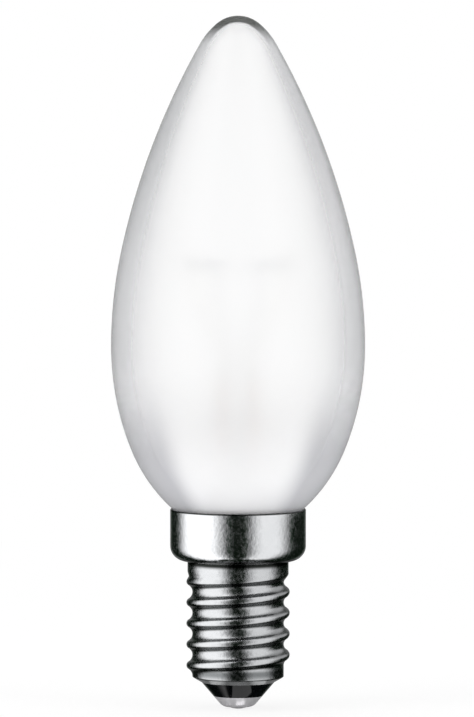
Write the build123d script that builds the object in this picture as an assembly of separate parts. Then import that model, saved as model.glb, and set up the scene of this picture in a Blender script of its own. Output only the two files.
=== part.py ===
from build123d import *
import os
from math import acos, atan2, cos, degrees, radians, sin, tan

# Candle bulb on a small screw cap, sizes in millimetres.
# The axis is Z, the lowest point of the contact is z = 0, and the seen side faces -Y.

# Glass envelope
overall_length = 93.0
bulb_diameter = 34.0
belly_height = 48.7
glass_wall = 0.6
belly_radius = 60.8
belly_tilt = 12.0
lower_belly_radius = 37.0
base_tilt = 22.0
shoulder_radius = 10.0
tip_tilt = 50.0
tip_radius = 4.4
neck_bend = 3.0

# Cap shell, drawn from one sheet
sheet = 0.25
rim_height = 26.9
skirt_diameter = 18.2
skirt_corner = 2.0
shoulder_height = 19.95
shoulder_fillet = 0.2
thread_diameter = 13.85
thread_depth = 0.8
thread_pitch = 2.822
crest_round = 0.6
crest_height = 12.9
runout_height = 2.45
neck_step = 0.15
shell_end_height = 3.58
shell_end_radius = 4.88
taper_slope = 30.0
taper_tilt = 32.0
taper_round = 3.2

# Insulator, contact and centre solder
contact_top = 1.72
contact_radius = 3.3
contact_corner = 1.4
contact_slope = 41.0
contact_floor = 0.25
contact_sheet = 0.3
contact_hole = 0.8
insulator_top = 6.0
bowl_floor = 4.0
bowl_radius = 5.0
solder_radius = 1.3

# Stem: flare tube, press and exhaust tube
cement_gap = 1.55
cement_height = 3.2
lead_passage = 1.0
stem_wall = 0.7
stem_bore = 2.9
flare_bend = 3.6
press_bottom = 36.5
press_shoulder = 40.0
press_top = 44.5
press_width = 8.4
press_thickness = 2.8
exhaust_radius = 1.4
exhaust_bore = 0.85
exhaust_tip = 14.0
breather_radius = 0.7
breather_height = 38.0

# Wires and filament
lead_radius = 0.2
lead_spacing = 4.6
lead_entry = 1.0
support_radius = 0.125
support_spacing = 1.8
support_depth = 2.0
filament_radius = 0.35
filament_height = 60.0
filament_arc = 7.5
filament_offset = 2.0
filament_span = 160.0
support_span = 54.0
filament_tail = 5.0
crook_turn = 240.0
rise_height = 47.0
side_exit_height = 25.0
slot_width = 0.8
bead_radius = 1.5
bead_proud = 1.1

# Clearances, and the most of a wall that a fillet takes
seat_clearance = 0.05
eye_clearance = 0.05
fillet_share = 0.95

# Derived fits
bulb_radius = bulb_diameter / 2
skirt_radius = skirt_diameter / 2
skirt_bore = skirt_radius - sheet
seat_radius = skirt_bore - seat_clearance
neck_radius = skirt_bore - cement_gap
lip_bottom = shoulder_height + sheet + lead_passage
seal_height = lip_bottom + stem_wall
crest_radius = thread_diameter / 2
root_radius = crest_radius - thread_depth
wave_round = ((thread_pitch / 2) ** 2 + thread_depth ** 2) / (2 * thread_depth)
root_round = wave_round - crest_round
stem_radius = stem_bore + stem_wall


def lathe(edges):
    """Turn a closed outline of (radius, height) edges about the axis."""
    return revolve(Plane.XZ * make_face(edges), Axis.Z)


def chain(*points):
    """Straight outline edges through (radius, height) points."""
    return [Line(a, b) for a, b in zip(points, points[1:])]


def wire(radius, edges):
    """A round wire that follows edges joined end to end."""
    path = Wire(edges)
    return sweep(Plane(path @ 0, z_dir=path % 0) * Circle(radius), path=path)


def save(piece, name):
    """Write one piece as its own node."""
    solid = piece.solids()[0]
    solid.label = name
    export_step(solid, f"parts/{name}.step")


# The envelope's side is a chain of arcs, each tangent to the next.
# The flank arc closes the chain from the belly to the tip, and the base arc closes it down to the cap's rim.
belly, tip = radians(belly_tilt), radians(tip_tilt)
flank_out = bulb_radius - belly_radius * (1 - cos(belly)) - tip_radius * cos(tip)
flank_out -= shoulder_radius * (cos(belly) - cos(tip))
flank_up = overall_length - belly_height - belly_radius * sin(belly) - tip_radius * (1 - sin(tip))
flank_up -= shoulder_radius * (sin(tip) - sin(belly))
flank = 2 * atan2(flank_out, flank_up) - belly
flank_radius = shoulder_radius + flank_up / (sin(flank) - sin(belly))
lower = radians(base_tilt)
base_start = Vector(
    bulb_radius - lower_belly_radius * (1 - cos(lower)), belly_height - lower_belly_radius * sin(lower)
)
base_run = base_start - Vector(seat_radius, rim_height)
base_radius = base_run.length ** 2 / (2 * (base_run.X * cos(lower) - base_run.Y * sin(lower)))
base_centre = base_start + Vector(-cos(lower), sin(lower)) * base_radius
seat_ledge = base_radius * (seat_radius - neck_radius) / (base_radius + base_centre.X - seat_radius)
neck_round = min(neck_bend, fillet_share * seat_ledge)
base = acos((neck_radius + neck_round - base_centre.X) / (base_radius + neck_round))
neck_top = base_centre.Y - (base_radius + neck_round) * sin(base)


def glass_side(inset):
    """The envelope's side, moved inward by inset, from the neck's end up to the tip."""
    neck_centre = (neck_radius + neck_round, neck_top)
    lower_centre = (bulb_radius - lower_belly_radius, belly_height)
    edges = [
        Line((neck_radius - inset, seal_height), (neck_radius - inset, neck_top)),
        CenterArc(neck_centre, neck_round + inset, 180, -degrees(base)),
        CenterArc(base_centre, base_radius - inset, -degrees(base), degrees(base) - base_tilt),
        CenterArc(lower_centre, lower_belly_radius - inset, -base_tilt, base_tilt),
    ]
    radii = [belly_radius, flank_radius, shoulder_radius, tip_radius]
    tilts = [0, belly, flank, tip, radians(90)]
    centre = Vector(bulb_radius, belly_height)
    last = 0
    for radius, start, end in zip(radii, tilts, tilts[1:]):
        centre += Vector(cos(start), sin(start)) * (last - radius)
        edges.append(CenterArc(centre, radius - inset, degrees(start), degrees(end - start)))
        last = radius
    return edges


def glass_envelope():
    """Blown glass wall, open at the neck."""
    return lathe(
        glass_side(0)
        + glass_side(glass_wall)
        + chain((0, overall_length), (0, overall_length - glass_wall))
        + chain((neck_radius, seal_height), (neck_radius - glass_wall, seal_height))
    )


def glass_blank():
    """The space that the envelope fills, walls and inside together."""
    return lathe(glass_side(0) + chain((0, overall_length), (0, seal_height), (neck_radius, seal_height)))


# The screw thread is a wave of tangent arcs rolled into the sheet: narrow crests and wide roots.
# An inset of one sheet gives the wave of its inner face.


def thread_section(inset):
    """One crest with the flanks down to its roots, in the plane of the axis."""
    skim = 0.04
    crest_arc = crest_round - inset
    root_arc = root_round + inset
    crest_centre = crest_radius - crest_round
    root_centre = root_radius + root_round
    flank_r = crest_centre + (root_centre - crest_centre) * crest_arc / wave_round
    flank_z = thread_pitch / 2 * crest_arc / wave_round
    foot = acos((root_arc - skim / 2) / root_arc)
    middle = (foot + acos((root_centre - flank_r) / root_arc)) / 2
    foot_r, foot_z = root_centre - root_arc * cos(foot), thread_pitch / 2 - root_arc * sin(foot)
    middle_r, middle_z = root_centre - root_arc * cos(middle), thread_pitch / 2 - root_arc * sin(middle)
    back_r = root_radius - inset - 4 * skim
    edges = [
        ThreePointArc((foot_r, -foot_z), (middle_r, -middle_z), (flank_r, -flank_z)),
        ThreePointArc((flank_r, -flank_z), (crest_radius - inset, 0), (flank_r, flank_z)),
        ThreePointArc((flank_r, flank_z), (middle_r, middle_z), (foot_r, foot_z)),
    ]
    edges += chain((foot_r, foot_z), (back_r, foot_z), (back_r, -foot_z), (foot_r, -foot_z))
    return Plane.XZ * make_face(edges), root_radius - inset + skim


def thread_limit(inset):
    """Trims the thread's lower end to a cone from the shell's end, rounded up to the crests."""
    slope, tilt = radians(taper_slope), radians(taper_tilt)
    run = crest_radius - shell_end_radius
    turn = cos(tilt) - sin(slope)
    bend = min(taper_round, fillet_share * run / turn)
    cone = run - bend * turn
    out = Vector(sin(slope), -cos(slope))
    bend_start = Vector(shell_end_radius + cone, shell_end_height + cone * tan(slope)) - out * inset
    centre = bend_start - out * (bend - inset)
    bend_end = centre + Vector(cos(tilt), -sin(tilt)) * (bend - inset)
    lowest = shell_end_height - inset
    start = (bend_start.X - (bend_start.Y - lowest) / tan(slope), lowest)
    side = crest_radius + sheet
    return lathe(
        chain((0, lowest), start, (bend_start.X, bend_start.Y))
        + [CenterArc(centre, bend - inset, taper_slope - 90, 90 - taper_slope - taper_tilt)]
        + chain(
            (bend_end.X, bend_end.Y),
            (side, bend_end.Y),
            (side, shoulder_height),
            (0, shoulder_height),
            (0, lowest),
        )
    )


def collar(inset, top):
    """The thread's upper run-out, the shoulder and the skirt, filled to the axis."""
    neck = crest_radius - neck_step - inset
    wall = skirt_radius - inset
    floor = shoulder_height + inset
    ledge = skirt_radius - crest_radius + neck_step - shoulder_fillet
    corner = min(skirt_corner, fillet_share * ledge) - inset
    bend = shoulder_fillet + inset
    foot = shoulder_height - runout_height
    return lathe(
        chain((0, foot), (root_radius - inset, foot), (neck, floor - bend))
        + [CenterArc((neck + bend, floor - bend), bend, 180, -90)]
        + chain((neck + bend, floor), (wall - corner, floor))
        + [CenterArc((wall - corner, floor + corner), corner, -90, 90)]
        + chain((wall, floor + corner), (wall, top), (0, top), (0, foot))
    )


def cap_form(inset, top):
    """The cap's surface, moved inward by inset, as a filled body."""
    section, core = thread_section(inset)
    turns = int(shoulder_height / thread_pitch) + 2
    start = crest_height - thread_pitch * int(crest_height / thread_pitch + 1)
    path = Helix(thread_pitch, turns * thread_pitch, root_radius)
    rod = Pos(0, 0, -thread_pitch) * Cylinder(
        core, (turns + 2) * thread_pitch, align=(Align.CENTER, Align.CENTER, Align.MIN)
    )
    thread = Pos(0, 0, start) * (rod + sweep(section, path=path, is_frenet=True))
    return (thread & thread_limit(inset)) + collar(inset, top)


def cap_shell(inside):
    """One drawn sheet: skirt, shoulder and rolled thread, with a slot in the rim for the side lead."""
    slot = Pos(0, skirt_radius, side_exit_height + rim_height) * Box(
        slot_width, 4 * sheet, 2 * rim_height + slot_width
    )
    return cap_form(0, rim_height) - inside - slot


def contact_form(inset):
    """The dished contact, moved inward by inset, filled up to its rim."""
    slope = radians(contact_slope)
    corner = contact_corner - inset
    centre_z = contact_floor + contact_corner
    rise = contact_top - centre_z + contact_corner * sin(slope)
    centre_r = contact_radius - rise * sin(slope) / cos(slope) - contact_corner * cos(slope)
    end = (centre_r + corner * cos(slope), centre_z - corner * sin(slope))
    rim = contact_radius - inset / cos(slope)
    return lathe(
        [CenterArc((centre_r, centre_z), corner, -90, 90 - contact_slope)]
        + chain(end, (rim, contact_top), (0, contact_top))
        + chain((0, contact_top), (0, contact_floor + inset), (centre_r, contact_floor + inset))
    )


def hole(radius, bottom, top, x=0):
    """An upright round tool between two heights."""
    return Pos(x, 0, bottom) * Cylinder(radius, top - bottom, align=(Align.CENTER, Align.CENTER, Align.MIN))


def cap_insulator(inside):
    """Black glass moulded into the shell's lower end and into the contact, dished on top."""
    plug = inside & hole(crest_radius, shell_end_height, insulator_top)
    cone = lathe(
        chain(
            (0, contact_top),
            (contact_radius, contact_top),
            (shell_end_radius, shell_end_height),
            (0, shell_end_height),
            (0, contact_top),
        )
    )
    bowl = lathe(
        chain(
            (0, bowl_floor),
            (contact_hole, bowl_floor),
            (bowl_radius, insulator_top),
            (0, insulator_top),
            (0, bowl_floor),
        )
    )
    return plug + cone + contact_form(contact_sheet) - bowl - hole(contact_hole, 0, insulator_top)


def contact_plate():
    """Pressed contact dish with a hole for the lead."""
    return contact_form(0) - contact_form(contact_sheet) - hole(contact_hole, 0, contact_top)


def centre_solder(lead):
    """Solder that fills the contact's hole and ends in a low dome."""
    plug_top = contact_floor + contact_sheet
    dome = lathe(
        [ThreePointArc((0, 0), (solder_radius * 0.6, contact_floor * 0.36), (solder_radius, contact_floor))]
        + chain(
            (solder_radius, contact_floor),
            (contact_hole, contact_floor),
            (contact_hole, plug_top),
            (0, plug_top),
            (0, 0),
        )
    )
    return dome - lead


def stem_flare():
    """Glass tube, flared to meet the neck and pinched flat around the leads."""
    bend_centre = (stem_bore + flare_bend, lip_bottom + flare_bend)
    tube = lathe(
        chain(
            (stem_bore, press_bottom),
            (stem_bore, bend_centre[1]),
        )
        + [CenterArc(bend_centre, flare_bend, 180, 90)]
        + chain((bend_centre[0], lip_bottom), (neck_radius, lip_bottom), (neck_radius, seal_height))
        + chain((neck_radius, seal_height), (bend_centre[0], seal_height))
        + [CenterArc(bend_centre, flare_bend - stem_wall, 180, 90)]
        + chain((stem_radius, bend_centre[1]), (stem_radius, press_bottom), (stem_bore, press_bottom))
    )
    flat = RectangleRounded(press_width, press_thickness, press_thickness / 2.2)
    pinch = loft([Pos(0, 0, press_bottom) * Circle(stem_radius), Pos(0, 0, press_shoulder) * flat])
    blade = Pos(0, 0, press_shoulder) * extrude(flat, press_top - press_shoulder)
    breather = Pos(0, 0, breather_height) * Rot(90, 0, 0) * Cylinder(breather_radius, 2 * stem_radius)
    stem = tube + pinch + blade - breather - hole(exhaust_bore, press_bottom, breather_height)
    for side in (-1, 1):
        stem -= hole(lead_radius, press_bottom, press_top, side * lead_spacing / 2)
        stem -= hole(support_radius, press_top - support_depth, press_top, side * support_spacing / 2)
    return stem


def exhaust_tube():
    """Thin glass tube under the press, melted shut at its lower tip."""
    tip_z = exhaust_tip + exhaust_radius
    end_z = tip_z + exhaust_bore
    return lathe(
        chain((exhaust_bore, end_z), (exhaust_bore, press_bottom), (exhaust_radius, press_bottom))
        + chain((exhaust_radius, press_bottom), (exhaust_radius, tip_z))
        + [CenterArc((0, tip_z), exhaust_radius, 0, -90)]
        + chain((0, exhaust_tip), (0, end_z - exhaust_bore))
        + [CenterArc((0, end_z), exhaust_bore, -90, 90)]
    )


def crook(radius, foot, span):
    """A wire from the press that ends in a crook around the filament, at an angle from its middle."""
    turn = radians(span - 90)
    out = Vector(cos(turn), sin(turn), 0)
    eye = Vector(0, filament_offset, filament_height) + out * filament_arc
    reach = filament_radius + eye_clearance + radius
    stand = eye - out * reach
    bends = FilletPolyline(
        foot,
        (foot[0], foot[1], rise_height),
        (stand.X, stand.Y, filament_height - 4),
        stand,
        radius=1.0,
    )
    plane = Plane(eye, x_dir=out, z_dir=out.cross(Vector(0, 0, 1)))
    return wire(radius, bends.edges() + [plane * CenterArc((0, 0), reach, 180, -crook_turn)])


def inner_lead(side):
    """Stiff lead from its seal in the press to the filament's end."""
    foot = (side * lead_spacing / 2, 0, press_top - lead_entry)
    return crook(lead_radius, foot, side * filament_span / 2)


def filament_support(side):
    """Fine wire set in the press that carries the filament between its ends."""
    foot = (side * support_spacing / 2, 0, press_top - support_depth)
    return crook(support_radius, foot, side * support_span / 2)


def filament():
    """Outline of the coiled wire, bowed level between the leads."""
    sweep_angle = filament_span + 2 * filament_tail
    arc = CenterArc((0, filament_offset), filament_arc, 270 - sweep_angle / 2, sweep_angle)
    return wire(filament_radius, [Pos(0, 0, filament_height) * arc])


def seal_wire(side):
    """Length of wire that the press seals to."""
    return hole(lead_radius, press_bottom + lead_entry, press_top - lead_entry, side * lead_spacing / 2)


def outer_lead_centre():
    """Lead from the press down to the contact's hole."""
    x = -lead_spacing / 2
    path = FilletPolyline(
        (x, 0, press_bottom + lead_entry),
        (x, 0, exhaust_tip - lead_passage),
        (0, 0, insulator_top + lead_passage),
        (0, 0, contact_floor + lead_radius),
        radius=2.0,
    )
    return wire(lead_radius, path.edges())


def outer_lead_side():
    """Lead from the press, under the flare, up inside the skirt and out through the rim's slot."""
    x = lead_spacing / 2
    run = lip_bottom - lead_passage / 2
    gap = neck_radius + cement_gap / 2
    path = FilletPolyline(
        (x, 0, press_bottom + lead_entry),
        (x, 0, run),
        (0, gap, run),
        (0, gap, side_exit_height),
        (0, skirt_radius + bead_proud / 2, side_exit_height),
        radius=0.7,
    )
    return wire(lead_radius, path.edges())


def side_solder(lead):
    """Bead that joins the side lead to the skirt."""
    ball = Pos(0, skirt_radius + bead_proud - bead_radius, side_exit_height) * Sphere(bead_radius)
    return ball - hole(skirt_radius, 0, overall_length) - lead


def capping_cement(lead):
    """Ring of cement between the neck and the skirt."""
    bottom = seal_height + lead_radius
    ring = collar(sheet, rim_height) & hole(skirt_radius, bottom, bottom + cement_height)
    return ring - glass_blank() - lead


os.makedirs("parts", exist_ok=True)
cavity = cap_form(sheet, rim_height + 1)
centre_lead = outer_lead_centre()
side_lead = outer_lead_side()

save(glass_envelope(), "glass_envelope")
save(stem_flare(), "stem_flare")
save(exhaust_tube(), "exhaust_tube")
save(seal_wire(-1), "seal_wire_left")
save(seal_wire(1), "seal_wire_right")
save(inner_lead(-1), "inner_lead_left")
save(inner_lead(1), "inner_lead_right")
save(filament_support(-1), "filament_support_left")
save(filament_support(1), "filament_support_right")
save(filament(), "filament")
save(centre_lead, "outer_lead_centre")
save(side_lead, "outer_lead_side")
save(capping_cement(side_lead), "capping_cement")
save(cap_shell(cavity), "cap_shell")
save(cap_insulator(cavity), "cap_insulator")
save(contact_plate(), "contact_plate")
save(centre_solder(centre_lead), "centre_solder")
save(side_solder(side_lead), "side_solder")
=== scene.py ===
from math import acos, atan2, cos, degrees, pi, radians, sin, sqrt, tan

import bmesh
import bpy
from mathutils import Matrix, Vector, noise


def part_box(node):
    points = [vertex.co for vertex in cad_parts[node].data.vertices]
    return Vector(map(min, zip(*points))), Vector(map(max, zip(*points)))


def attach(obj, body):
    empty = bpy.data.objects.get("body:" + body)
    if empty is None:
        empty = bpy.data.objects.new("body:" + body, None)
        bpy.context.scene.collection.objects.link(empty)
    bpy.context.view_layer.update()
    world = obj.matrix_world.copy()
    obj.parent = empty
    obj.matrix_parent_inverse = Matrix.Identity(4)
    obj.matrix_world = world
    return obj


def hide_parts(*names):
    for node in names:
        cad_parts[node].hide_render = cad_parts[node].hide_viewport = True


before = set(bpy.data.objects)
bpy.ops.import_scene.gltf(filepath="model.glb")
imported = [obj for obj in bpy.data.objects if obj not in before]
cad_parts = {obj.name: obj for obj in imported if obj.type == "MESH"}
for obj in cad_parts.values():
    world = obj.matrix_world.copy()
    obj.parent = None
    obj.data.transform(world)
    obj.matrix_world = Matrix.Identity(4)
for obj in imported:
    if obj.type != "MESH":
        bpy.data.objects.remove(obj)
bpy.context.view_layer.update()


# Stem and exhaust tube
# The stem is a clear glass tube, flared at its foot and pinched flat over the wires while it is hot.
# The thin tube under the pinch is the one that the bulb was pumped through, melted shut at its tip.


class Tone:
    """One socket of a shader tree: sums on it add Math nodes, and node() adds any other node."""

    def __init__(self, tree, socket=None):
        self.tree = tree
        self.socket = socket

    def node(self, kind, settings, inputs, out=0):
        """Adds a node, sets it up, sets or links its inputs, and gives one of its outputs."""
        made = self.tree.nodes.new("ShaderNode" + kind)
        for name, value in settings.items():
            setattr(made, name, value)
        for name, value in inputs.items():
            if isinstance(value, Tone):
                self.tree.links.new(value.socket, made.inputs[name])
            else:
                made.inputs[name].default_value = value
        return Tone(self.tree, made.outputs[out] if made.outputs else None)

    def maths(self, operation, first, second):
        return self.node("Math", {"operation": operation}, {0: first, 1: second})

    def __add__(self, other):
        return self.maths("ADD", self, other)

    def __sub__(self, other):
        return self.maths("SUBTRACT", self, other)

    def __rsub__(self, other):
        return self.maths("SUBTRACT", other, self)

    def __mul__(self, other):
        return self.maths("MULTIPLY", self, other)

    def __abs__(self):
        return self.maths("ABSOLUTE", self, 0)

    __radd__ = __add__
    __rmul__ = __mul__

    def larger(self, other):
        """The larger of the two values."""
        return self.maths("MAXIMUM", self, other)

    def ease(self, low, high):
        """0 below low and 1 above high, with a soft step between."""
        limits = {"Value": self, "From Min": low, "From Max": high}
        return self.node("MapRange", {"interpolation_type": "SMOOTHSTEP"}, limits)

    def band(self, first, full, fading, last):
        """0 below first, 1 between full and fading, and 0 above last, with soft steps between."""
        return self.ease(first, full) * (1 - self.ease(fading, last))

    def tint(self, first, second):
        """The first colour where the value is 0, the second where it is 1."""
        return self.node("Mix", {"data_type": "RGBA"}, {0: self, 6: first, 7: second}, out=2)

    def relief(self, depth):
        """The value as small bumps of that depth, in metres."""
        return self.node("Bump", {}, {"Strength": 1.0, "Distance": depth, "Height": self})

    def place(self):
        """Where the point lies in the part's own coordinates, in metres."""
        return self.node("TexCoord", {}, {}, out="Object")

    def ray(self, kind):
        """What is known of the ray that meets the surface, such as its length or whether it is glossy."""
        return self.node("LightPath", {}, {}, out=kind)

    def along(self, axis):
        """One part of a vector: X, Y or Z."""
        return self.node("SeparateXYZ", {}, {0: self}, out=axis)

    def speckle(self, scale, detail=2.0):
        """Cloudy noise in the part's own coordinates, with scale features to the metre."""
        return self.node("TexNoise", {}, {"Vector": self.place(), "Scale": scale, "Detail": detail})

    def principled(self, sockets):
        """The usual surface shader, with these of its sockets set or linked."""
        return self.node("BsdfPrincipled", {}, sockets)

    def show(self):
        """Ends the tree, with this shader as the material's surface."""
        self.node("OutputMaterial", {}, {"Surface": self})


def new_finish(name):
    """A material with an empty tree, and a tone to build it with."""
    finish = bpy.data.materials.new(name)
    finish.use_nodes = True
    finish.node_tree.nodes.clear()
    return finish, Tone(finish.node_tree)


def dress(finish, *nodes):
    """Gives solid parts of the frame their finish."""
    for node in nodes:
        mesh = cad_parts[node].data
        mesh.materials.clear()
        mesh.materials.append(finish)


stem_glass, tone = new_finish("clear_stem_glass")
streak = tone.speckle(400.0)
tone.principled(
    {
        "Base Color": streak.tint((0.97, 0.98, 0.98, 1), (1, 1, 1, 1)),
        "Roughness": 0.03 * streak,
        "IOR": 1.15,
        "Transmission Weight": 1.0,
    }
).show()
dress(stem_glass, "stem_flare", "exhaust_tube")


# Wires through the stem
# Copper-clad wire seals to the glass in the pinch, and stiff nickel wire above it holds the filament's ends.
# Two finer wires with a crook carry the filament between them. Soft copper leads run down from the pinch
# to the contact and to the rim of the cap.


def drawn_wire(name, dark, bright, roughness):
    """Metal wire, its colour clouded and its skin finely scored by the drawing die."""
    finish, tone = new_finish(name)
    cloud = tone.speckle(900.0)
    score = tone.speckle(9000.0)
    tone.principled(
        {
            "Base Color": cloud.tint(dark, bright),
            "Metallic": 0.25,
            "Roughness": roughness + 0.15 * score,
            "Normal": score.relief(0.000004),
        }
    ).show()
    return finish


seal_copper = drawn_wire("seal_wire_copper", (0.78, 0.56, 0.44, 1), (0.9, 0.7, 0.58, 1), 0.35)
lead_nickel = drawn_wire("lead_wire_nickel", (0.76, 0.75, 0.72, 1), (0.88, 0.87, 0.84, 1), 0.25)
support_metal = drawn_wire("support_wire_metal", (0.72, 0.72, 0.73, 1), (0.84, 0.84, 0.85, 1), 0.3)
lead_copper = drawn_wire("lead_wire_copper", (0.62, 0.3, 0.16, 1), (0.82, 0.46, 0.3, 1), 0.3)
dress(seal_copper, "seal_wire_left", "seal_wire_right")
dress(lead_nickel, "inner_lead_left", "inner_lead_right")
dress(support_metal, "filament_support_left", "filament_support_right")
dress(lead_copper, "outer_lead_centre", "outer_lead_side")


# Filament
# A fine tungsten wire wound into a close coil, bowed level round the bulb's axis.
# It is clamped in the crooks of the two leads and looped through the two supports.


def add_piece(name, bm, *finishes, crease=40):
    """Makes the finished mesh an object, smooth but for edges sharper than the crease in degrees."""
    mesh = bpy.data.meshes.new(name)
    bm.to_mesh(mesh)
    bm.free()
    mesh.polygons.foreach_set("use_smooth", [True] * len(mesh.polygons))
    mesh.set_sharp_from_angle(angle=radians(crease))
    for finish in finishes:
        mesh.materials.append(finish)
    piece = bpy.data.objects.new(name, mesh)
    bpy.context.scene.collection.objects.link(piece)
    return piece


filament_low, filament_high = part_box("filament")
coil_radius = (filament_high.z - filament_low.z) / 2
coil_height = (filament_high.z + filament_low.z) / 2
strand_radius = 0.00005
strand_sides = 6
turn_gap = 0.00022
bow_radius = 0.0075
bow_middle = filament_low.y + coil_radius + bow_radius
bow_span = radians(170)
steps_a_turn = 12

coil_length = bow_radius * bow_span
turns = int(coil_length / turn_gap)
bm = bmesh.new()
ring = bmesh.ops.create_circle(bm, segments=strand_sides, radius=strand_radius, cap_ends=False)["verts"]
bmesh.ops.translate(bm, verts=ring, vec=(0, coil_radius - strand_radius, 0))
bmesh.ops.rotate(bm, verts=ring, cent=(0, 0, 0), matrix=Matrix.Rotation(radians(90), 3, "Y"))
bmesh.ops.spin(
    bm,
    geom=bm.edges[:] + bm.verts[:],
    cent=(0, 0, 0),
    axis=(1, 0, 0),
    dvec=(turn_gap / steps_a_turn, 0, 0),
    angle=2 * pi * turns,
    steps=steps_a_turn * turns,
)
bmesh.ops.holes_fill(bm, edges=[edge for edge in bm.edges if edge.is_boundary], sides=strand_sides)
bmesh.ops.recalc_face_normals(bm, faces=bm.faces[:])
for vert in bm.verts:
    bow_angle = (vert.co.x / (turns * turn_gap) - 0.5) * bow_span
    reach = bow_radius + vert.co.y
    vert.co = (reach * sin(bow_angle), bow_middle - reach * cos(bow_angle), coil_height + vert.co.z)

tungsten = drawn_wire("filament_tungsten", (0.74, 0.74, 0.75, 1), (0.88, 0.88, 0.89, 1), 0.4)
filament = add_piece("filament_coil", bm, tungsten)
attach(filament, "root")
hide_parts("filament")


# Glass envelope
# Blown soda glass, smooth outside and etched satin inside, drawn to a rounded tip.
# Its neck is melted to the flare of the stem and stands in the cap.

glass_low, glass_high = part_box("glass_envelope")
shell_low, shell_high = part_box("cap_shell")
glass_wall = 0.0006
belly_height = 0.0487
belly_radius = 0.0608
belly_tilt = radians(12)
shoulder_radius = 0.010
tip_tilt = radians(50)
tip_radius = 0.0044
lower_belly_radius = 0.037
base_tilt = radians(22)
neck_bend = 0.003
neck_radius = 0.0073
seat_radius = 0.0088
glass_columns = 160

bulb_radius = glass_high.x
flank_out = bulb_radius - belly_radius * (1 - cos(belly_tilt)) - tip_radius * cos(tip_tilt)
flank_out -= shoulder_radius * (cos(belly_tilt) - cos(tip_tilt))
flank_up = glass_high.z - belly_height - belly_radius * sin(belly_tilt) - tip_radius * (1 - sin(tip_tilt))
flank_up -= shoulder_radius * (sin(tip_tilt) - sin(belly_tilt))
flank_tilt = 2 * atan2(flank_out, flank_up) - belly_tilt
flank_radius = shoulder_radius + flank_up / (sin(flank_tilt) - sin(belly_tilt))

inward = Vector((-cos(base_tilt), sin(base_tilt)))
base_top = Vector((bulb_radius - lower_belly_radius, belly_height)) - inward * lower_belly_radius
base_run = Vector((seat_radius, shell_high.z)) - base_top
base_radius = base_run.length_squared / (2 * base_run.dot(inward))
base_middle = base_top + inward * base_radius
base_turn = acos((neck_radius + neck_bend - base_middle.x) / (base_radius + neck_bend))
neck_top = base_middle.y - (base_radius + neck_bend) * sin(base_turn)


def start_line(x, z):
    """A bmesh that holds the first point of an outline in the XZ plane, and that point."""
    bm = bmesh.new()
    return bm, bm.verts.new((x, 0, z))


def line_to(bm, end, x, z):
    """Draws a straight edge on from the outline's end."""
    made = bmesh.ops.extrude_vert_indiv(bm, verts=[end])["verts"][0]
    made.co = (x, 0, z)
    return made


def arc_by(bm, end, x, z, turn, steps):
    """Draws an arc on from the outline's end, about a centre, anticlockwise by turn in radians."""
    made = bmesh.ops.spin(
        bm, geom=[end], cent=(x, 0, z), axis=(0, -1, 0), angle=turn, steps=steps, use_merge=False
    )
    return [item for item in made["geom_last"] if isinstance(item, bmesh.types.BMVert)][0]


bm, end = start_line(neck_radius, glass_low.z)
end = line_to(bm, end, neck_radius, neck_top)
end = arc_by(bm, end, neck_radius + neck_bend, neck_top, -base_turn, steps=8)
end = arc_by(bm, end, base_middle.x, base_middle.y, base_turn - base_tilt, steps=18)
end = arc_by(bm, end, bulb_radius - lower_belly_radius, belly_height, base_tilt, steps=16)
middle = Vector((bulb_radius, belly_height))
last_radius = 0
last_tilt = 0
for radius, tilt, steps in (
    (belly_radius, belly_tilt, 14),
    (flank_radius, flank_tilt, 20),
    (shoulder_radius, tip_tilt, 12),
    (tip_radius, radians(90), 14),
):
    middle += Vector((cos(last_tilt), sin(last_tilt))) * (last_radius - radius)
    end = arc_by(bm, end, middle.x, middle.y, tilt - last_tilt, steps)
    last_radius = radius
    last_tilt = tilt


def turn_round(bm, steps):
    """Turns the outline once round the Z axis and closes its seam and poles."""
    bmesh.ops.spin(
        bm,
        geom=bm.edges[:] + bm.verts[:],
        cent=(0, 0, 0),
        axis=(0, 0, 1),
        angle=2 * pi,
        steps=steps,
        use_merge=True,
    )
    bmesh.ops.remove_doubles(bm, verts=bm.verts[:], dist=0.000002)
    bmesh.ops.recalc_face_normals(bm, faces=bm.faces[:])


turn_round(bm, glass_columns)
bmesh.ops.solidify(bm, geom=bm.faces[:], thickness=glass_wall)
bulb_middle = Vector((0, 0, belly_height))
for face in bm.faces:
    is_inside = face.normal.dot(face.calc_center_median() - bulb_middle) < 0
    face.material_index = 1 if is_inside else 0

# Where each painted shade of the glass starts and is full: heights, and turns, which are 0 where the glass
# is seen face on and 1 where it is seen edge on. The edges, the lower sides and the tip are painted grey to
# near black by the angle of view, as painted shade. The grey of the sides starts full and fades upwards.
edge_turn = (0.2, 0.5)
edge_dark_heights = (0.055, 0.082)
side_turn = (0.1, 0.32)
side_heights = (0.034, 0.047)
tip_turn = (0.43, 0.5)
tip_heights = (0.0885, 0.092)
crown_heights = (0.0905, 0.0925)
crown_turn = 0.08

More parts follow.
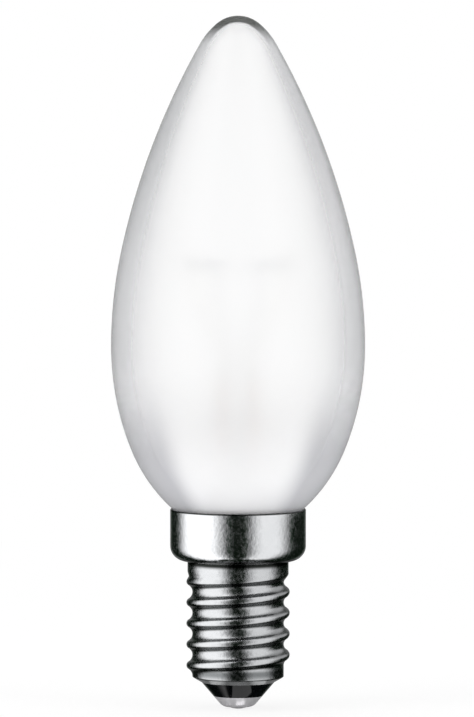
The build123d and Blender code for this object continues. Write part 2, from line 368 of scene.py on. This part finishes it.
clear_side, tone = new_finish("satin_glass_outside")
cloud = tone.speckle(60.0, 3.0)
height = tone.place().along("Z")
outward = tone.node("VectorMath", {"operation": "MULTIPLY"}, {0: tone.place(), 1: (1, 1, 0)})
outward = tone.node("VectorMath", {"operation": "NORMALIZE"}, {0: outward})
facing = tone.node("LayerWeight", {}, {"Blend": 0.5}, out="Facing")
aside = tone.node("LayerWeight", {}, {"Blend": 0.5, "Normal": outward}, out="Facing")
entering = 1 - tone.node("NewGeometry", {}, {}, out="Backfacing")
# Painted shade: grey at the edges and lower sides and near black at the tip, by the angle of view.
edge = facing.ease(*edge_turn) * entering
side_shade = aside.ease(*side_turn) * (1 - height.ease(*side_heights)) * entering
tip_shade = (facing + crown_turn * height.ease(*crown_heights)).ease(*tip_turn)
tip_shade = tip_shade * height.ease(*tip_heights) * entering
edge_shade_glass = height.ease(*edge_dark_heights).tint((0.83, 0.835, 0.86, 1), (0.64, 0.65, 0.67, 1))
shaded_wall_glass = side_shade.tint(edge.tint((1, 1, 1, 1), edge_shade_glass), (0.39, 0.392, 0.42, 1))
tone.principled(
    {
        "Base Color": tip_shade.tint(shaded_wall_glass, (0.025, 0.027, 0.025, 1)),
        "Roughness": 0.02 + 0.06 * cloud,
        "IOR": 1.3,
        "Transmission Weight": 1.0,
    }
).show()

# The frosting lets a dim image through above, and is thick and chalky towards the cap.
chalk_heights = (0.03, 0.047)
chalk_share = 0.97

frosted_side, tone = new_finish("satin_glass_inside")
etch = tone.speckle(4000.0, 3.0)
cloud = tone.speckle(80.0, 3.0)
height = tone.place().along("Z")
satin = tone.principled(
    {
        "Base Color": cloud.tint((0.99, 0.99, 0.995, 1), (1, 1, 1, 1)),
        "Roughness": 0.4 + 0.06 * cloud + 0.04 * etch,
        "IOR": 1.5,
        "Transmission Weight": 1.0,
        "Normal": etch.relief(0.000003),
    }
)
chalk = tone.principled(
    {
        "Base Color": cloud.tint((0.97, 0.97, 0.98, 1), (1, 1, 1, 1)),
        "Roughness": 0.85 + 0.1 * etch,
        "Specular IOR Level": 0.0,
    }
)
chalky = chalk_share - chalk_share * height.ease(*chalk_heights)
tone.node("MixShader", {}, {0: chalky, 1: satin, 2: chalk}).show()

envelope = add_piece("glass_bulb", bm, clear_side, frosted_side)
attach(envelope, "root")
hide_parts("glass_envelope")


# Capping cement
# A ring of baked resin and stone flour that glues the neck of the bulb into the skirt of the cap.
# It is pale and gritty, and only its top edge can be seen, through the glass.

capping_cement, tone = new_finish("baked_cement")
grit = tone.speckle(5000.0, 4.0)
bake = tone.speckle(500.0, 3.0)
tone.principled(
    {
        "Base Color": bake.tint((0.74, 0.7, 0.62, 1), (0.88, 0.85, 0.78, 1)),
        "Roughness": 0.75 + 0.2 * grit,
        "Normal": grit.relief(0.00005),
    }
).show()
dress(capping_cement, "capping_cement")


# Cap shell
# One cup of nickel-plated brass sheet: a plain skirt, a shoulder and a round thread rolled into its wall.
# A slot in the rim at the back lets the side lead out.

sheet = 0.00025
thread_crest = 0.006925
thread_depth = 0.0008
thread_pitch = 0.002822
crest_round = 0.0006
crest_height = 0.0129
first_turn = -2.8
full_turn = -2.5
runout_start = 0.0169
runout_end = 0.0186
shell_end_radius = 0.00488
taper_slope = radians(30)
taper_tilt = radians(32)
taper_round = 0.0032
neck_step = 0.00015
shoulder_height = 0.01995
shoulder_fillet = 0.0002
skirt_corner = 0.002
slot_bottom = 0.025
slot_width = 0.0008
rim_round = 0.00018
thread_rows = 200
columns = 160
tolerance = 0.00001

skirt_radius = shell_high.x
shell_end = shell_low.z
neck = thread_crest - neck_step
neck_end = shoulder_height - shoulder_fillet
thread_root = thread_crest - thread_depth
wave_round = ((thread_pitch / 2) ** 2 + thread_depth**2) / (2 * thread_depth)
root_round = wave_round - crest_round
flank_height = thread_pitch / 2 * crest_round / wave_round
taper_turn = cos(taper_tilt) - sin(taper_slope)
cone_run = thread_crest - shell_end_radius - taper_round * taper_turn
cone_top = shell_end + cone_run * tan(taper_slope)
round_x = shell_end_radius + cone_run - taper_round * sin(taper_slope)
round_z = cone_top + taper_round * cos(taper_slope)
round_top = round_z - taper_round * sin(taper_tilt)


def soft_step(value, low, high):
    """0 below low and 1 above high, eased between them."""
    part = min(max((value - low) / (high - low), 0), 1)
    return part * part * (3 - 2 * part)


def thread_wave(angle, z):
    """The wave's height over its root: a narrow crest round and a wide root round, tangent to each other.
    It rises from the plain wall between two turns, which count from the crest at crest_height."""
    step = (z - crest_height) / thread_pitch - angle / (2 * pi)
    off = abs(step - round(step)) * thread_pitch
    if off < flank_height:
        wave = thread_depth - crest_round + sqrt(crest_round**2 - off**2)
    else:
        wave = root_round - sqrt(root_round**2 - (thread_pitch / 2 - off) ** 2)
    turn = round(step) + angle / (2 * pi)
    return wave * soft_step(turn, first_turn, full_turn)


def taper_limit(z):
    """The radius of the cone and round at the shell's lower end, which cut the thread off."""
    if z < cone_top:
        return shell_end_radius + (z - shell_end) / tan(taper_slope)
    if z < round_top:
        return round_x + sqrt(taper_round**2 - (round_z - z) ** 2)
    return thread_crest


def thread_radius(angle, z):
    """The shell's radius between its lower end and its shoulder, under which the thread flattens out."""
    radius = min(thread_root + thread_wave(angle, z), taper_limit(z))
    return radius + (neck - radius) * soft_step(z, runout_start, runout_end)


def in_slot(face):
    """Whether a face of the skirt lies in the slot at the back of the rim."""
    centre = face.calc_center_median()
    return centre.y > 0 and abs(centre.x) < slot_width / 2 and centre.z > slot_bottom


def on_rim(edge):
    """Whether an edge runs along the outside of the rim."""
    return all(
        vert.co.z > shell_high.z - tolerance and vert.co.xy.length > skirt_radius - tolerance
        for vert in edge.verts
    )


bm, end = start_line(neck, shell_end)
end = line_to(bm, end, neck, neck_end)
thread_wall = end.link_edges[0]
end = arc_by(bm, end, neck + shoulder_fillet, neck_end, radians(-90), steps=5)
end = line_to(bm, end, skirt_radius - skirt_corner, shoulder_height)
corner_height = shoulder_height + skirt_corner
end = arc_by(bm, end, skirt_radius - skirt_corner, corner_height, radians(90), steps=14)
end = line_to(bm, end, skirt_radius, slot_bottom)
line_to(bm, end, skirt_radius, shell_high.z)
bmesh.ops.subdivide_edges(bm, edges=[thread_wall], cuts=thread_rows - 1)
turn_round(bm, columns)
for vert in bm.verts:
    if vert.co.z < neck_end + tolerance:
        angle = atan2(vert.co.y, vert.co.x)
        radius = thread_radius(angle, vert.co.z)
        vert.co.x = radius * cos(angle)
        vert.co.y = radius * sin(angle)
bmesh.ops.delete(bm, geom=[face for face in bm.faces if in_slot(face)], context="FACES")
bmesh.ops.recalc_face_normals(bm, faces=bm.faces[:])
bmesh.ops.solidify(bm, geom=bm.faces[:], thickness=sheet)
bmesh.ops.bevel(
    bm,
    geom=[edge for edge in bm.edges if on_rim(edge)],
    offset=rim_round,
    segments=3,
    profile=0.5,
    affect="EDGES",
    material=-1,
)

# Where the plating is painted darker, as painted shade: heights, depths under the rim, and slopes from 0
# upright to 1 level. The rolled thread is also a little rougher.
thread_heights = (0.019, 0.0196)
foot_shade_heights = (0.004, 0.005, 0.0052, 0.0058)
flank_heights = (0.004, 0.0044)
flank_down_slopes = (0.3, 0.6)
flank_up_slopes = (0.45, 0.8)
crease_over_shoulder = (-0.0009, -0.0003, -0.0001, 0.00015)
corner_over_shoulder = (-0.0002, 0, 0.0006, 0.0008)
corner_slopes = (0.68, 0.8)
rim_depths = (0.00014, 0.00026)

nickel_plate, tone = new_finish("nickel_plate")
grain = tone.speckle(2400.0, 3.0).ease(0.35, 0.65)
cloud = tone.speckle(350.0, 3.0)
height = tone.place().along("Z")
over_shoulder = height - shoulder_height
upward = tone.node("NewGeometry", {}, {}, out="Normal").along("Z")
downward = 0 - upward
rolled = 1 - height.ease(*thread_heights)
# Painted shade: thread flanks that face down are painted near black, and those that face up less so.
flank_shade = downward.ease(*flank_down_slopes).larger(0.4 * upward.ease(*flank_up_slopes))
flank_shade = flank_shade * height.ease(*flank_heights) * rolled
# Painted shade: the crease under the shoulder, the underside of the skirt's corner and the rim's top edge
# are painted near black.
crease = over_shoulder.band(*crease_over_shoulder)
corner_shade = downward.ease(*corner_slopes) * over_shoulder.band(*corner_over_shoulder)
rim = 0.95 * (1 - (shell_high.z - height).ease(*rim_depths))
painted_shade = crease.larger(corner_shade).larger(rim)
plate = cloud.tint((0.7, 0.71, 0.725, 1), (0.77, 0.78, 0.795, 1))
# Painted shade: the thread is a darker copy of the plate, and its foot is painted darker still.
thread = cloud.tint((0.54, 0.55, 0.565, 1), (0.6, 0.61, 0.62, 1))
thread = height.band(*foot_shade_heights).tint(thread, (0.2, 0.21, 0.215, 1))
thread = flank_shade.tint(thread, (0.1, 0.105, 0.105, 1))
tone.principled(
    {
        "Base Color": painted_shade.tint(rolled.tint(plate, thread), (0.02, 0.022, 0.02, 1)),
        "Metallic": 1.0,
        "Roughness": 0.1 + 0.04 * cloud + 0.12 * grain + 0.04 * rolled,
        "Normal": grain.relief(0.000006),
    }
).show()

shell = add_piece("screw_shell", bm, nickel_plate)
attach(shell, "root")
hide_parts("cap_shell")


# Insulator
# A plug of black glass, melted into the lower end of the shell and moulded to a cone below it.
# It holds the contact and keeps it apart from the thread.

contact_low, contact_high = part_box("contact_plate")
plug_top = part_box("cap_insulator")[1].z
contact_sheet = 0.0003
contact_slope = radians(41)
contact_corner = 0.0014
contact_hole = 0.0008
plug_radius = 0.0056
plug_cone = 0.0009
plug_bowl = 0.004

contact_radius = contact_high.x
corner_z = contact_low.z + contact_corner
slope_rise = contact_high.z - corner_z + contact_corner * sin(contact_slope)
corner_x = contact_radius - slope_rise * tan(contact_slope) - contact_corner * cos(contact_slope)


def draw_dish(bm, end, inset):
    """Draws the contact's dished outline, moved inward by inset, from its flat floor up to its rim."""
    end = line_to(bm, end, corner_x, contact_low.z + inset)
    end = arc_by(bm, end, corner_x, corner_z, radians(90) - contact_slope, steps=8)
    return line_to(bm, end, contact_radius - inset / cos(contact_slope), contact_high.z)


bm, start = start_line(contact_hole, contact_low.z + contact_sheet)
end = draw_dish(bm, start, contact_sheet)
end = line_to(bm, end, contact_radius, contact_high.z)
end = line_to(bm, end, shell_end_radius, shell_end)
end = line_to(bm, end, shell_end_radius - sheet / sin(taper_slope), shell_end)
end = line_to(bm, end, plug_radius, shell_end + plug_cone)
end = line_to(bm, end, plug_radius, plug_top)
end = line_to(bm, end, contact_hole, plug_bowl)
bm.edges.new((end, start))
turn_round(bm, columns)

black_glass, tone = new_finish("moulded_black_glass")
flow = tone.speckle(500.0)
fleck = tone.speckle(6000.0)
tone.principled(
    {
        "Base Color": flow.tint((0.001, 0.001, 0.0015, 1), (0.003, 0.003, 0.004, 1)),
        "Roughness": 0.06 + 0.08 * fleck,
        "IOR": 1.52,
        "Normal": flow.relief(0.00002),
    }
).show()

plug = add_piece("black_insulator", bm, black_glass, crease=30)
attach(plug, "root")
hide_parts("cap_insulator")


# Contact
# A small dish pressed from tinned brass, caught in the end of the insulator.
# The centre lead comes through its hole.

bm, end = start_line(contact_hole, contact_low.z)
draw_dish(bm, end, 0)
turn_round(bm, columns)
bmesh.ops.solidify(bm, geom=bm.faces[:], thickness=contact_sheet)

tinned_brass, tone = new_finish("tinned_brass")
cloud = tone.speckle(1200.0, 3.0)
grain = tone.speckle(9000.0)
tone.principled(
    {
        "Base Color": cloud.tint((0.6, 0.59, 0.61, 1), (0.7, 0.69, 0.71, 1)),
        "Metallic": 0.4,
        "Roughness": 0.24 + 0.12 * cloud + 0.06 * grain,
        "Normal": grain.relief(0.000003),
    }
).show()

contact = add_piece("end_contact", bm, tinned_brass)
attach(contact, "root")
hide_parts("contact_plate")


# Centre solder
# Soft solder run into the contact's hole, where it wets the lead and sets in a low dome.
# Its lowest point is what the holder's tongue presses on.

dome_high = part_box("centre_solder")[1]
dome_radius = dome_high.x
dome_rise = contact_low.z
dome_round = (dome_radius**2 + dome_rise**2) / (2 * dome_rise)
dome_columns = 64

bm, end = start_line(0, 0)
end = arc_by(bm, end, 0, dome_round, acos(1 - dome_rise / dome_round), steps=12)
end = line_to(bm, end, contact_hole, contact_low.z)
end = line_to(bm, end, contact_hole, dome_high.z)
line_to(bm, end, 0, dome_high.z)
turn_round(bm, dome_columns)

solder, tone = new_finish("soft_solder")
cloud = tone.speckle(1500.0, 3.0)
pucker = tone.speckle(3000.0)
tone.principled(
    {
        "Base Color": cloud.tint((0.6, 0.6, 0.62, 1), (0.76, 0.76, 0.78, 1)),
        "Metallic": 1.0,
        "Roughness": 0.16 + 0.2 * cloud,
        "Normal": pucker.relief(0.000012),
    }
).show()

dome = add_piece("centre_solder_dome", bm, solder)
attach(dome, "root")
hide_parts("centre_solder")


# Side solder
# A bead of the same solder over the slot at the back of the skirt.
# It joins the side lead to the shell.

bead_low, bead_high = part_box("side_solder")
bead_radius = 0.0015
bead_middle = Vector((0, bead_high.y - bead_radius, (bead_low.z + bead_high.z) / 2))
swell_share = 0.04
swells_a_metre = 900.0

bm = bmesh.new()
bmesh.ops.create_uvsphere(bm, u_segments=48, v_segments=24, radius=bead_radius)
bmesh.ops.rotate(bm, verts=bm.verts[:], cent=(0, 0, 0), matrix=Matrix.Rotation(radians(90), 3, "X"))
for vert in bm.verts:
    swell = noise.noise(vert.co * swells_a_metre)
    vert.co *= 1 - swell_share + swell_share * swell
bmesh.ops.translate(bm, verts=bm.verts[:], vec=bead_middle)
for vert in bm.verts:
    reach = vert.co.xy.length
    if reach < skirt_radius:
        vert.co.x *= skirt_radius / reach
        vert.co.y *= skirt_radius / reach
bmesh.ops.recalc_face_normals(bm, faces=bm.faces[:])

bead = add_piece("side_solder_bead", bm, solder, crease=60)
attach(bead, "root")
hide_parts("side_solder")


# Floor
# A plain white board under the bulb, so wide that its edge is never seen, white but for the bulb's shadow.
# Small bright cards close to the bulb show only in its metal and black glass: the contact and the insulator
# mirror one with a spot in front of them, and the foot of the thread mirrors one at each side.

floor_half = 60.0
shadow_reach = (0.02, 0.25)
shadow_share = 0.2
card_across = (-0.0014, -0.0012, 0.0029, 0.0031)
card_ahead = (-0.0032, -0.003)
card_light = 0.375
spot_across = (-0.0005, -0.0002, 0.0011, 0.0014)
spot_ahead = (-0.003, -0.0028, -0.0024, -0.0022)
near_reach = (0.0037, 0.0041)
side_card_start = (0.002, 0.0032)
side_card_end = (0.005, 0.0054)
side_card_light = 0.25
thread_reach = (0.0046, 0.005)
glow_strength = 2.0

bm = bmesh.new()
bmesh.ops.create_grid(bm, x_segments=8, y_segments=8, size=floor_half)

white_board, tone = new_finish("white_board")
across = tone.place().along("X")
ahead = tone.place().along("Y")
away = tone.node("VectorMath", {"operation": "LENGTH"}, {0: tone.place()}, out="Value")
reach = tone.ray("Ray Length")
seen = tone.ray("Is Camera Ray").larger(tone.ray("Is Transmission Ray"))
glossy = tone.ray("Is Glossy Ray") * (1 - seen)
white_share = 1 - shadow_share + shadow_share * away.ease(*shadow_reach)
board = tone.node("BsdfDiffuse", {}, {"Color": (0.93, 0.93, 0.93, 1)})
white = tone.node("Emission", {}, {"Color": (1, 1, 1, 1), "Strength": 1.0})
shown = tone.node("MixShader", {}, {0: seen * white_share, 1: board, 2: white})
card = across.band(*card_across) * (1 - ahead.ease(*card_ahead))
spot = across.band(*spot_across) * ahead.band(*spot_ahead)
side_cards = abs(across).ease(*side_card_start) * (1 - away.ease(*side_card_end))
near_cards = (1 - reach.ease(*near_reach)) * (card_light * card + spot)
cards = near_cards + side_card_light * side_cards * reach.ease(*thread_reach)
glow = tone.node("Emission", {}, {"Color": (1, 1, 1, 1), "Strength": glow_strength})
clear = tone.node("BsdfTransparent", {}, {})
mirrored = tone.node("MixShader", {}, {0: cards, 1: clear, 2: glow})
tone.node("MixShader", {}, {0: glossy, 1: shown, 2: mirrored}).show()

floor = add_piece("floor", bm, white_board)


# Studio
# White all round. Metal and glass mirror a tall soft box on each side, a wing beside the right one, a pale
# card behind and green-black cloth between them. Matt surfaces take even light from everywhere, and a
# little more from a lamp on each side.

# Where each panel starts, is full, fades and ends: bearings in degrees to one side of the front, and heights
# from -1 straight down to 1 straight up.
right_box_bearings = (10, 42, 68, 108)
right_wing_bearings = (70, 100, 135, 160)
right_wing_heights = (0.02, 0.2)
left_box_bearings = (12, 52, 91, 127)
back_card_bearings = (150, 170)
panel_heights = (-0.95, -0.9, 0.94, 0.985)
cloth_light = 0.008
even_light = 0.9

studio = bpy.data.worlds.new("studio")
studio.use_nodes = True
studio.node_tree.nodes.clear()
bpy.context.scene.world = studio
tone = Tone(studio.node_tree)
direction = tone.node("TexCoord", {}, {}, out="Generated")
height = direction.along("Z")
bearing = tone.maths("ARCTAN2", direction.along("X"), 0 - direction.along("Y")) * degrees(1)
right_box = bearing.band(*right_box_bearings)
right_wing = bearing.band(*right_wing_bearings) * height.ease(*right_wing_heights)
left_box = (0 - bearing).band(*left_box_bearings)
back_card = abs(bearing).ease(*back_card_bearings)
panels = 1.05 * right_box + 0.5 * right_wing + 1.52 * left_box + 0.2 * back_card
mirrored = cloth_light + height.band(*panel_heights) * panels
white = tone.ray("Is Camera Ray").larger(tone.ray("Is Transmission Ray"))
glossy = tone.ray("Is Glossy Ray") * (1 - white)
strength = white + glossy * mirrored + (1 - white - glossy) * even_light
colour = strength.ease(0.0, 0.15).tint((0.55, 1, 0.6, 1), (1, 1, 1, 1))
sky = tone.node("Background", {}, {"Color": colour, "Strength": strength})
tone.node("OutputWorld", {}, {"Surface": sky})

lamp_width = 0.3
lamp_height = 0.6
lamp_aim = Vector((0, 0, 0.04))
lamp_places = {"left_lamp": Vector((-0.5, -0.3, 0.35)), "right_lamp": Vector((0.5, -0.3, 0.35))}
lamp_powers = {"left_lamp": 1.5, "right_lamp": 1.0}
for name, place in lamp_places.items():
    lamp = bpy.data.lights.new(name, "AREA")
    lamp.shape = "RECTANGLE"
    lamp.size = lamp_width
    lamp.size_y = lamp_height
    lamp.energy = lamp_powers[name]
    lamp_object = bpy.data.objects.new(name, lamp)
    lamp_object.location = place
    lamp_object.rotation_euler = (lamp_aim - place).to_track_quat("-Z", "Y").to_euler()
    lamp_object.visible_glossy = False
    lamp_object.visible_transmission = False
    bpy.context.scene.collection.objects.link(lamp_object)


# Camera
# A long lens in front of the bulb and a little above it, aimed at its middle.
# Frosted glass turns grey without many bounces, or when its gloss is filtered.

view_height = 0.096
view_middle = Vector((-0.00014, 0, 0.04708))
view_distance = 1.6
view_tilt = radians(4.2)

camera = bpy.data.cameras.new("camera")
camera.sensor_fit = "VERTICAL"
camera.sensor_height = 24.0
camera.lens = camera.sensor_height * view_distance / view_height
camera.clip_end = 200.0
camera_object = bpy.data.objects.new("camera", camera)
offset = Vector((0, -cos(view_tilt), sin(view_tilt))) * view_distance
camera_object.location = view_middle + offset
camera_object.rotation_euler = (-offset).to_track_quat("-Z", "Y").to_euler()
bpy.context.scene.collection.objects.link(camera_object)
bpy.context.scene.camera = camera_object
bpy.context.scene.view_settings.view_transform = "Standard"
bpy.context.scene.cycles.blur_glossy = 0.0
bpy.context.scene.cycles.max_bounces = 32
bpy.context.scene.cycles.transmission_bounces = 32
bpy.context.scene.cycles.diffuse_bounces = 16
